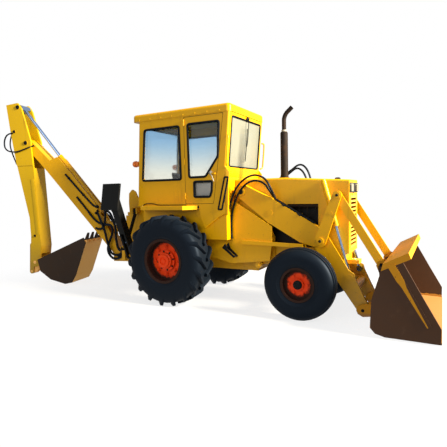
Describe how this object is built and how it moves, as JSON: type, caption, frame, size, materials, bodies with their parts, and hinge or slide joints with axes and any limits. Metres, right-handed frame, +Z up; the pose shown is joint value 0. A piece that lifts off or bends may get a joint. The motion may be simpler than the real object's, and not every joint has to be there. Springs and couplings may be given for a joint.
{
  "type": "backhoe loader",
  "caption": "Wheeled backhoe loader with a glazed cab, a front loading bucket on lift arms and a folded rear digging hoe with stabiliser legs.",
  "frame": {"origin": "on the ground under the middle of the overall box", "axes": "+X forward to the loader bucket, +Y to the machine's left, +Z up"},
  "size_m": [7.2246, 2.092, 3.3399],
  "materials": {
    "yellow_paint": "gloss",
    "dark_paint": "satin",
    "worn_steel": "worn",
    "red_paint": "satin",
    "tyre_rubber": "matte",
    "chrome": "polished",
    "glass": "clear",
    "exhaust_iron": "rusty",
    "lamp_plastic": "gloss",
    "black_plastic": "matte"
  },
  "bodies": {
    "machine": {"main_frame": "yellow_paint", "rear_axle": "dark_paint", "front_axle": "dark_paint", "engine": "dark_paint", "hood": "yellow_paint", "grille": "dark_paint", "head_lamps": "glass", "rear_lamps": "lamp_plastic", "exhaust_stack": "exhaust_iron", "loader_frame": "yellow_paint", "hoe_frame": "yellow_paint", "cab_body": "yellow_paint", "cab_roof": "yellow_paint", "cab_glass": "glass", "fenders": "yellow_paint", "side_boxes": "yellow_paint", "steps": "dark_paint", "seat": "black_plastic", "steering_column": "black_plastic", "hoe_console": "dark_paint"},
    "door_right": {"door_right": "yellow_paint", "door_glass_right": "glass"},
    "door_left": {"door_left": "yellow_paint", "door_glass_left": "glass"},
    "rear_wheel_right": {"rear_tyre_right": "tyre_rubber", "rear_rim_right": "red_paint"},
    "rear_wheel_left": {"rear_tyre_left": "tyre_rubber", "rear_rim_left": "red_paint"},
    "knuckle_right": {"knuckle_right": "dark_paint"},
    "knuckle_left": {"knuckle_left": "dark_paint"},
    "front_wheel_right": {"front_tyre_right": "tyre_rubber", "front_rim_right": "red_paint"},
    "front_wheel_left": {"front_tyre_left": "tyre_rubber", "front_rim_left": "red_paint"},
    "loader_arms": {"loader_arms": "yellow_paint"},
    "bellcranks": {"bellcranks": "yellow_paint"},
    "bucket_links": {"bucket_links": "yellow_paint"},
    "loader_bucket": {"loader_bucket": "worn_steel"},
    "dump_barrels": {"dump_barrels": "yellow_paint"},
    "dump_rods": {"dump_rods": "chrome"},
    "lift_barrels": {"lift_barrels": "yellow_paint"},
    "lift_rods": {"lift_rods": "chrome"},
    "swing_post": {"swing_post": "yellow_paint"},
    "boom": {"boom": "yellow_paint"},
    "boom_barrel": {"boom_barrel": "yellow_paint"},
    "boom_rod": {"boom_rod": "chrome"},
    "crowd_barrel": {"crowd_barrel": "yellow_paint"},
    "crowd_rod": {"crowd_rod": "chrome"},
    "dipper": {"dipper": "yellow_paint"},
    "curl_barrel": {"curl_barrel": "yellow_paint"},
    "curl_rod": {"curl_rod": "chrome"},
    "bucket_rocker": {"bucket_rocker": "yellow_paint"},
    "bucket_coupler": {"bucket_coupler": "yellow_paint"},
    "hoe_bucket": {"hoe_bucket": "worn_steel"},
    "stabiliser_leg_left": {"stabiliser_leg_left": "dark_paint"},
    "stabiliser_leg_right": {"stabiliser_leg_right": "dark_paint"},
    "stabiliser_barrel_left": {"stabiliser_barrel_left": "dark_paint"},
    "stabiliser_barrel_right": {"stabiliser_barrel_right": "dark_paint"},
    "stabiliser_rod_left": {"stabiliser_rod_left": "chrome"},
    "stabiliser_rod_right": {"stabiliser_rod_right": "chrome"}
  },
  "joints": [
    {"name": "door_right_hinge", "type": "hinge", "parent": "machine", "child": "door_right", "pos_m": [0.262, -0.589, 2.09], "axis": [0, 0, -1], "range_deg": [0, 85]},
    {"name": "door_left_hinge", "type": "hinge", "parent": "machine", "child": "door_left", "pos_m": [0.262, 0.589, 2.09], "axis": [0, 0, 1], "range_deg": [0, 85]},
    {"name": "rear_wheel_right_spin", "type": "hinge", "parent": "machine", "child": "rear_wheel_right", "pos_m": [0.076, -0.78, 0.658], "axis": [0, 1, 0], "continuous": true},
    {"name": "rear_wheel_left_spin", "type": "hinge", "parent": "machine", "child": "rear_wheel_left", "pos_m": [0.076, 0.78, 0.658], "axis": [0, 1, 0], "continuous": true},
    {"name": "steer_left", "type": "hinge", "parent": "machine", "child": "knuckle_left", "pos_m": [2.03, 0.54, 0.46], "axis": [0, 0, 1], "range_deg": [-28, 28]},
    {"name": "steer_right", "type": "hinge", "parent": "machine", "child": "knuckle_right", "pos_m": [2.03, -0.54, 0.46], "axis": [0, 0, 1], "range_deg": [-28.5, 28.5]},
    {"name": "front_wheel_right_spin", "type": "hinge", "parent": "knuckle_right", "child": "front_wheel_right", "pos_m": [2.03, -0.735, 0.46], "axis": [0, 1, 0], "continuous": true},
    {"name": "front_wheel_left_spin", "type": "hinge", "parent": "knuckle_left", "child": "front_wheel_left", "pos_m": [2.03, 0.735, 0.46], "axis": [0, 1, 0], "continuous": true},
    {"name": "loader_lift", "type": "hinge", "parent": "machine", "child": "loader_arms", "pos_m": [1.076, 0, 1.622], "axis": [0, -1, 0], "range_deg": [0, 70]},
    {"name": "loader_tilt", "type": "hinge", "parent": "loader_arms", "child": "loader_bucket", "pos_m": [2.736, 0, 0.112], "axis": [0, 1, 0], "range_deg": [-30, 48]},
    {"name": "bellcrank_turn", "type": "hinge", "parent": "loader_arms", "child": "bellcranks", "pos_m": [2.206, 0, 0.965], "axis": [0, 1, 0], "range_deg": [-30.5, 48.5]},
    {"name": "bucket_link_turn", "type": "hinge", "parent": "bellcranks", "child": "bucket_links", "pos_m": [2.421, 0, 1.555], "axis": [0, -1, 0], "range_deg": [-30.5, 48.5]},
    {"name": "dump_barrel_turn", "type": "hinge", "parent": "bellcranks", "child": "dump_barrels", "pos_m": [2.3393, 0, 1.3308], "axis": [0, -1, 0], "range_deg": [-20.1, 31.86]},
    {"name": "dump_rod_slide", "type": "slide", "parent": "dump_barrels", "child": "dump_rods", "axis": [0.267, 0, -0.9637], "range_m": [-0.2117, 0.133]},
    {"name": "lift_barrel_turn", "type": "hinge", "parent": "machine", "child": "lift_barrels", "pos_m": [1.316, 0, 0.59], "axis": [0, -1, 0], "range_deg": [-0.5, 4.29]},
    {"name": "lift_rod_slide", "type": "slide", "parent": "lift_barrels", "child": "lift_rods", "axis": [0.2496, 0, 0.9683], "range_m": [-0.002, 0.6003]},
    {"name": "hoe_swing", "type": "hinge", "parent": "machine", "child": "swing_post", "pos_m": [-1.274, 0, 0.86], "axis": [0, 0, 1], "range_deg": [-94, 66]},
    {"name": "boom_turn", "type": "hinge", "parent": "swing_post", "child": "boom", "pos_m": [-1.45836, -0.04596, 0.56], "axis": [0.2419, -0.9703, 0], "range_deg": [-10, 45]},
    {"name": "boom_barrel_turn", "type": "hinge", "parent": "swing_post", "child": "boom_barrel", "pos_m": [-1.29341, -0.00484, 0.85], "axis": [-0.2419, 0.9703, 0], "range_deg": [-42.38, 9.81]},
    {"name": "boom_rod_slide", "type": "slide", "parent": "boom_barrel", "child": "boom_rod", "axis": [-0.8209, -0.2047, 0.5332], "range_m": [-0.0574, 0.2511]},
    {"name": "dipper_turn", "type": "hinge", "parent": "boom", "child": "dipper", "pos_m": [-3.20489, -0.48142, 2.61], "axis": [-0.2419, 0.9703, 0], "range_deg": [0, 95]},
    {"name": "crowd_barrel_turn", "type": "hinge", "parent": "boom", "child": "crowd_barrel", "pos_m": [-1.85618, -0.14515, 1.345], "axis": [-0.2419, 0.9703, 0], "range_deg": [-0.5, 13.34]},
    {"name": "crowd_rod_slide", "type": "slide", "parent": "crowd_barrel", "child": "crowd_rod", "axis": [-0.6028, -0.1503, 0.7836], "range_m": [-0.868, 0.002]},
    {"name": "hoe_bucket_turn", "type": "hinge", "parent": "dipper", "child": "hoe_bucket", "pos_m": [-3.15152, -0.46812, 0.4], "axis": [-0.2419, 0.9703, 0], "range_deg": [0, 120]},
    {"name": "rocker_turn", "type": "hinge", "parent": "dipper", "child": "bucket_rocker", "pos_m": [-3.11756, -0.45965, 0.9], "axis": [-0.2419, 0.9703, 0], "range_deg": [-0.5, 120.5]},
    {"name": "coupler_turn", "type": "hinge", "parent": "bucket_rocker", "child": "bucket_coupler", "pos_m": [-3.26311, -0.49594, 0.71], "axis": [0.2419, -0.9703, 0], "range_deg": [-0.5, 120.5]},
    {"name": "curl_barrel_turn", "type": "hinge", "parent": "dipper", "child": "curl_barrel", "pos_m": [-3.42806, -0.53707, 2.827], "axis": [-0.2419, 0.9703, 0], "range_deg": [-1.11, 0.5]},
    {"name": "curl_rod_slide", "type": "slide", "parent": "curl_barrel", "child": "curl_rod", "axis": [0.0777, 0.0194, -0.9968], "range_m": [-0.4306, 0.002]},
    {"name": "stabiliser_left", "type": "hinge", "parent": "machine", "child": "stabiliser_leg_left", "pos_m": [-0.924, 0.45, 0.62], "axis": [-1, 0, 0], "range_deg": [0, 100]},
    {"name": "stabiliser_barrel_left_turn", "type": "hinge", "parent": "machine", "child": "stabiliser_barrel_left", "pos_m": [-0.924, 0.3, 1.35], "axis": [1, 0, 0], "range_deg": [-0.5, 2.42]},
    {"name": "stabiliser_rod_left_slide", "type": "slide", "parent": "stabiliser_barrel_left", "child": "stabiliser_rod_left", "axis": [0, 0.4349, -0.9005], "range_m": [-0.002, 0.3937]},
    {"name": "stabiliser_right", "type": "hinge", "parent": "machine", "child": "stabiliser_leg_right", "pos_m": [-0.924, -0.45, 0.62], "axis": [1, 0, 0], "range_deg": [0, 100]},
    {"name": "stabiliser_barrel_right_turn", "type": "hinge", "parent": "machine", "child": "stabiliser_barrel_right", "pos_m": [-0.924, -0.3, 1.35], "axis": [-1, 0, 0], "range_deg": [-0.5, 2.42]},
    {"name": "stabiliser_rod_right_slide", "type": "slide", "parent": "stabiliser_barrel_right", "child": "stabiliser_rod_right", "axis": [0, -0.4349, -0.9005], "range_m": [-0.002, 0.3937]}
  ],
  "couplings": [
    {"joint": "steer_right", "follows": "steer_left", "ratio": 1},
    {"joint": "bellcrank_turn", "follows": "loader_tilt", "ratio": 1},
    {"joint": "bucket_link_turn", "follows": "loader_tilt", "ratio": 1},
    {"joint": "dump_barrel_turn", "follows": "loader_tilt", "ratio": 0.65326},
    {"joint": "dump_rod_slide", "follows": "loader_tilt", "m_per_rad": -0.25026},
    {"joint": "lift_barrel_turn", "follows": "loader_lift", "ratio": 0.054214},
    {"joint": "lift_rod_slide", "follows": "loader_lift", "m_per_rad": 0.48972},
    {"joint": "boom_barrel_turn", "follows": "boom_turn", "ratio": -0.93058},
    {"joint": "boom_rod_slide", "follows": "boom_turn", "m_per_rad": 0.31718},
    {"joint": "crowd_barrel_turn", "follows": "dipper_turn", "ratio": 0.13511},
    {"joint": "crowd_rod_slide", "follows": "dipper_turn", "m_per_rad": -0.52231},
    {"joint": "rocker_turn", "follows": "hoe_bucket_turn", "ratio": 1},
    {"joint": "coupler_turn", "follows": "hoe_bucket_turn", "ratio": 1},
    {"joint": "curl_barrel_turn", "follows": "hoe_bucket_turn", "ratio": -0.005092},
    {"joint": "curl_rod_slide", "follows": "hoe_bucket_turn", "m_per_rad": -0.20464},
    {"joint": "stabiliser_barrel_left_turn", "follows": "stabiliser_left", "ratio": 0.019248},
    {"joint": "stabiliser_rod_left_slide", "follows": "stabiliser_left", "m_per_rad": 0.22443},
    {"joint": "stabiliser_barrel_right_turn", "follows": "stabiliser_right", "ratio": 0.019248},
    {"joint": "stabiliser_rod_right_slide", "follows": "stabiliser_right", "m_per_rad": 0.22443}
  ]
}
